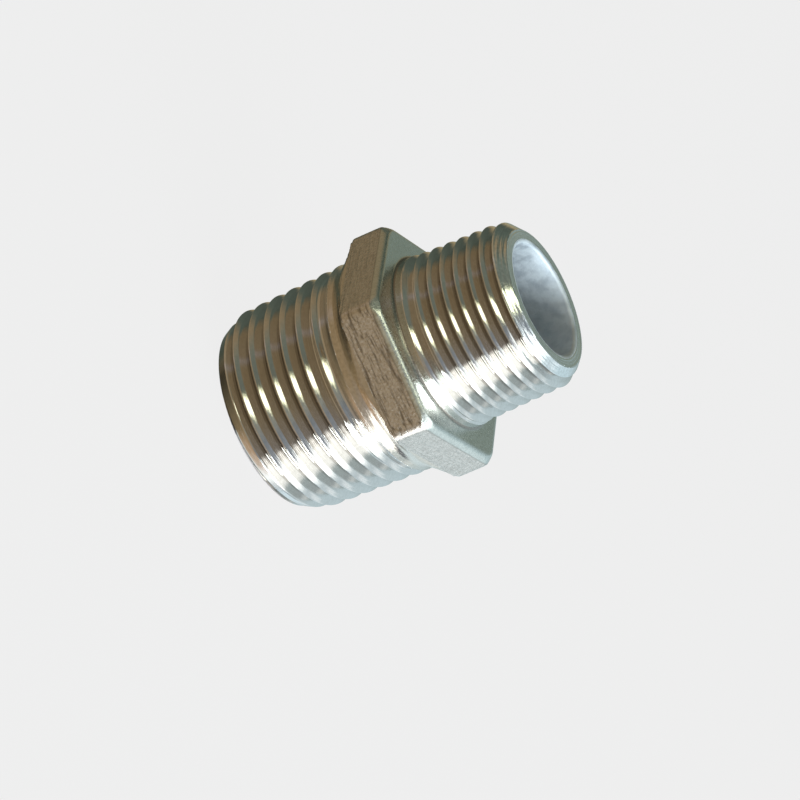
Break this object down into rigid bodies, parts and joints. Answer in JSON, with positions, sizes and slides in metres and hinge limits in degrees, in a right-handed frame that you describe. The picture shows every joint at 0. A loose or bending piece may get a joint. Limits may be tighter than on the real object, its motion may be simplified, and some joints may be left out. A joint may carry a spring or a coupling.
{
  "type": "hex nipple",
  "caption": "Reducing hex nipple: one stainless casting with a larger and a smaller male taper pipe thread either side of a hexagon, and a straight through bore.",
  "frame": {"origin": "centre of the large end's face, on the axis of the bore", "axes": "+Z along the fitting's axis towards the small end, +X towards a corner of the hexagon, +Y square to a flat"},
  "size_m": [0.0252, 0.022, 0.0309],
  "materials": {
    "cast_stainless": "satin investment-cast stainless steel with turned threads, chamfers and end faces"
  },
  "bodies": {
    "root": {"nipple_body": "cast_stainless"}
  },
  "joints": []
}
